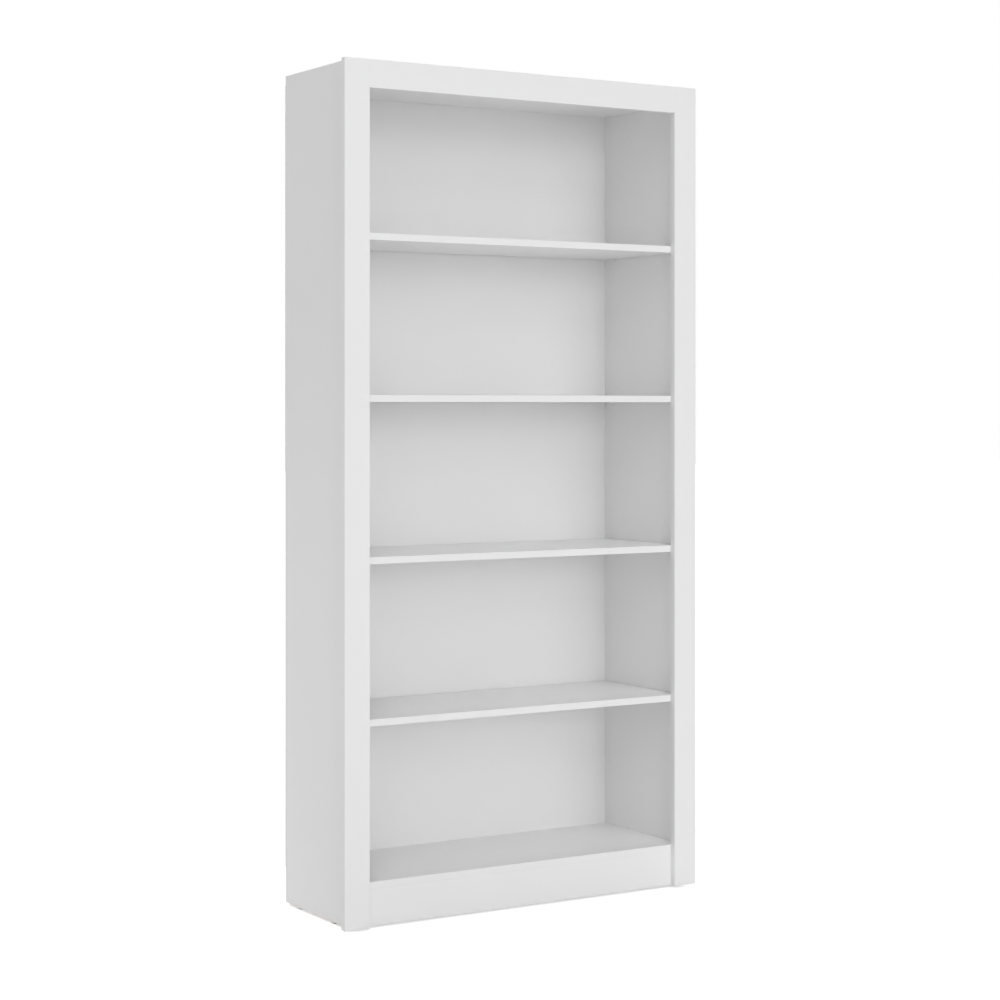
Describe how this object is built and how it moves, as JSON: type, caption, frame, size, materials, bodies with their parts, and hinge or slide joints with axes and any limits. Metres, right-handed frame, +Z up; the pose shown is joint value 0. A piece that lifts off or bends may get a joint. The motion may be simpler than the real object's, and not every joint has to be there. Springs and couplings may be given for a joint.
{
  "type": "bookcase",
  "caption": "Tall white bookcase with a face frame, a recessed plinth and loose shelves that lift off push-in pins.",
  "frame": {"origin": "on the floor, midway between the sides and midway between the face of the stiles and the rear of the back joining strip", "axes": "+Z up, the open front faces -Y, +X to the right when seen from the front"},
  "size_m": [0.915, 0.325, 1.845],
  "materials": {
    "white_laminate": "white melamine on particleboard, satin",
    "back_board": "white painted hardboard, raw brown rear",
    "white_plastic": "moulded, matt",
    "zinc_steel": "zinc plated",
    "beech": "fluted beech, unfinished"
  },
  "bodies": {
    "root": {"left_side_panel": "white_laminate", "right_side_panel": "white_laminate", "left_stile": "white_laminate", "right_stile": "white_laminate", "top_rail": "white_laminate", "top_panel": "white_laminate", "bottom_panel": "white_laminate", "front_plinth": "white_laminate", "rear_plinth": "white_laminate", "upper_back_panel": "back_board", "lower_back_panel": "back_board", "back_joining_strip": "white_plastic", "pin_hole_plugs": "white_plastic", "top_panel_cam_bolts": "zinc_steel", "bottom_panel_cam_bolts": "zinc_steel", "plinth_cam_bolts": "zinc_steel", "stile_cam_bolts": "zinc_steel", "rail_cam_bolts": "zinc_steel", "top_panel_cam_locks": "zinc_steel", "bottom_panel_cam_locks": "zinc_steel", "plinth_cam_locks": "zinc_steel", "stile_cam_locks": "zinc_steel", "rail_cam_locks": "zinc_steel", "top_panel_dowels": "beech", "bottom_panel_dowels": "beech", "plinth_dowels": "beech", "stile_dowels": "beech", "rail_dowels": "beech", "cam_cover_caps": "white_plastic", "back_panel_nails": "zinc_steel", "floor_glides": "white_plastic", "glide_nails": "zinc_steel", "wall_brackets": "zinc_steel", "bracket_screws": "zinc_steel"},
    "shelf_1": {"shelf_1": "white_laminate"},
    "shelf_2": {"shelf_2": "white_laminate"},
    "shelf_3": {"shelf_3": "white_laminate"},
    "shelf_4": {"shelf_4": "white_laminate"},
    "shelf_1_pin_front_left": {"shelf_1_pin_front_left": "white_plastic"},
    "shelf_1_pin_rear_left": {"shelf_1_pin_rear_left": "white_plastic"},
    "shelf_1_pin_front_right": {"shelf_1_pin_front_right": "white_plastic"},
    "shelf_1_pin_rear_right": {"shelf_1_pin_rear_right": "white_plastic"},
    "shelf_2_pin_front_left": {"shelf_2_pin_front_left": "white_plastic"},
    "shelf_2_pin_rear_left": {"shelf_2_pin_rear_left": "white_plastic"},
    "shelf_2_pin_front_right": {"shelf_2_pin_front_right": "white_plastic"},
    "shelf_2_pin_rear_right": {"shelf_2_pin_rear_right": "white_plastic"},
    "shelf_3_pin_front_left": {"shelf_3_pin_front_left": "white_plastic"},
    "shelf_3_pin_rear_left": {"shelf_3_pin_rear_left": "white_plastic"},
    "shelf_3_pin_front_right": {"shelf_3_pin_front_right": "white_plastic"},
    "shelf_3_pin_rear_right": {"shelf_3_pin_rear_right": "white_plastic"},
    "shelf_4_pin_front_left": {"shelf_4_pin_front_left": "white_plastic"},
    "shelf_4_pin_rear_left": {"shelf_4_pin_rear_left": "white_plastic"},
    "shelf_4_pin_front_right": {"shelf_4_pin_front_right": "white_plastic"},
    "shelf_4_pin_rear_right": {"shelf_4_pin_rear_right": "white_plastic"}
  },
  "joints": [
    {"name": "lift_shelf_1", "type": "slide", "parent": "root", "child": "shelf_1", "axis": [0, 0, 1], "range_m": [0, 0.32]},
    {"name": "lift_shelf_2", "type": "slide", "parent": "root", "child": "shelf_2", "axis": [0, 0, 1], "range_m": [0, 0.32]},
    {"name": "lift_shelf_3", "type": "slide", "parent": "root", "child": "shelf_3", "axis": [0, 0, 1], "range_m": [0, 0.32]},
    {"name": "lift_shelf_4", "type": "slide", "parent": "root", "child": "shelf_4", "axis": [0, 0, 1], "range_m": [0, 0.32]},
    {"name": "pull_shelf_1_pin_front_left", "type": "slide", "parent": "root", "child": "shelf_1_pin_front_left", "axis": [1, 0, 0], "range_m": [0, 0.012]},
    {"name": "pull_shelf_1_pin_rear_left", "type": "slide", "parent": "root", "child": "shelf_1_pin_rear_left", "axis": [1, 0, 0], "range_m": [0, 0.012]},
    {"name": "pull_shelf_1_pin_front_right", "type": "slide", "parent": "root", "child": "shelf_1_pin_front_right", "axis": [-1, 0, 0], "range_m": [0, 0.012]},
    {"name": "pull_shelf_1_pin_rear_right", "type": "slide", "parent": "root", "child": "shelf_1_pin_rear_right", "axis": [-1, 0, 0], "range_m": [0, 0.012]},
    {"name": "pull_shelf_2_pin_front_left", "type": "slide", "parent": "root", "child": "shelf_2_pin_front_left", "axis": [1, 0, 0], "range_m": [0, 0.012]},
    {"name": "pull_shelf_2_pin_rear_left", "type": "slide", "parent": "root", "child": "shelf_2_pin_rear_left", "axis": [1, 0, 0], "range_m": [0, 0.012]},
    {"name": "pull_shelf_2_pin_front_right", "type": "slide", "parent": "root", "child": "shelf_2_pin_front_right", "axis": [-1, 0, 0], "range_m": [0, 0.012]},
    {"name": "pull_shelf_2_pin_rear_right", "type": "slide", "parent": "root", "child": "shelf_2_pin_rear_right", "axis": [-1, 0, 0], "range_m": [0, 0.012]},
    {"name": "pull_shelf_3_pin_front_left", "type": "slide", "parent": "root", "child": "shelf_3_pin_front_left", "axis": [1, 0, 0], "range_m": [0, 0.012]},
    {"name": "pull_shelf_3_pin_rear_left", "type": "slide", "parent": "root", "child": "shelf_3_pin_rear_left", "axis": [1, 0, 0], "range_m": [0, 0.012]},
    {"name": "pull_shelf_3_pin_front_right", "type": "slide", "parent": "root", "child": "shelf_3_pin_front_right", "axis": [-1, 0, 0], "range_m": [0, 0.012]},
    {"name": "pull_shelf_3_pin_rear_right", "type": "slide", "parent": "root", "child": "shelf_3_pin_rear_right", "axis": [-1, 0, 0], "range_m": [0, 0.012]},
    {"name": "pull_shelf_4_pin_front_left", "type": "slide", "parent": "root", "child": "shelf_4_pin_front_left", "axis": [1, 0, 0], "range_m": [0, 0.012]},
    {"name": "pull_shelf_4_pin_rear_left", "type": "slide", "parent": "root", "child": "shelf_4_pin_rear_left", "axis": [1, 0, 0], "range_m": [0, 0.012]},
    {"name": "pull_shelf_4_pin_front_right", "type": "slide", "parent": "root", "child": "shelf_4_pin_front_right", "axis": [-1, 0, 0], "range_m": [0, 0.012]},
    {"name": "pull_shelf_4_pin_rear_right", "type": "slide", "parent": "root", "child": "shelf_4_pin_rear_right", "axis": [-1, 0, 0], "range_m": [0, 0.012]}
  ]
}
